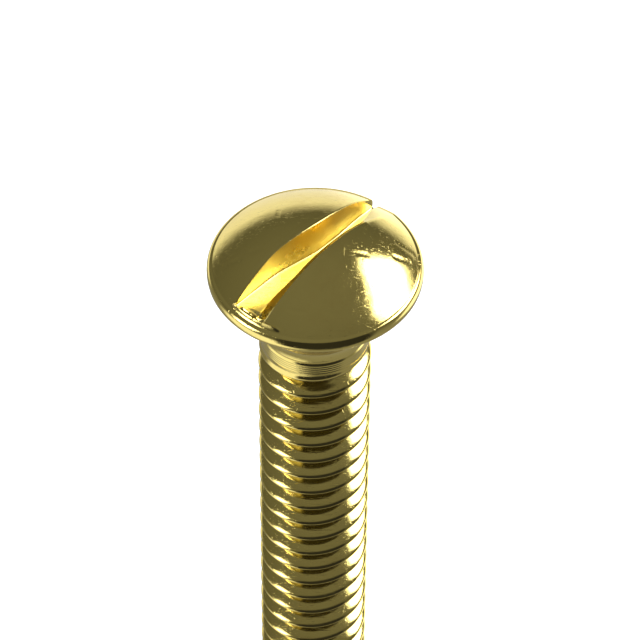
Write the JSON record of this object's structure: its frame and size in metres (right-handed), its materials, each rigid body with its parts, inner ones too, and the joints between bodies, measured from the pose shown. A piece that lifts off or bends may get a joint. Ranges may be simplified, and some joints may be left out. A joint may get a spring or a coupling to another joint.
{
  "type": "slotted oval head machine screw",
  "caption": "Brass machine screw with a slotted, raised countersunk head, a short plain neck, a fine right-hand thread along the whole shank and a flat chamfered end.",
  "frame": {"origin": "on the screw's axis in the rim plane of the head, the plane that comes level with the work when the countersunk head is seated", "axes": "+Z along the axis and out of the head towards the screwdriver, so the shank runs down -Z; the slot lies about 50 degrees round from +X towards +Y"},
  "size_m": [0.009, 0.009, 0.0335],
  "materials": {
    "polished_brass": "bright, lightly scratched",
    "cut_brass": "bright, with fine lines along the thread"
  },
  "bodies": {
    "root": {"head": "polished_brass", "neck": "polished_brass", "threaded_shank": "cut_brass", "end_point": "cut_brass"}
  },
  "joints": []
}
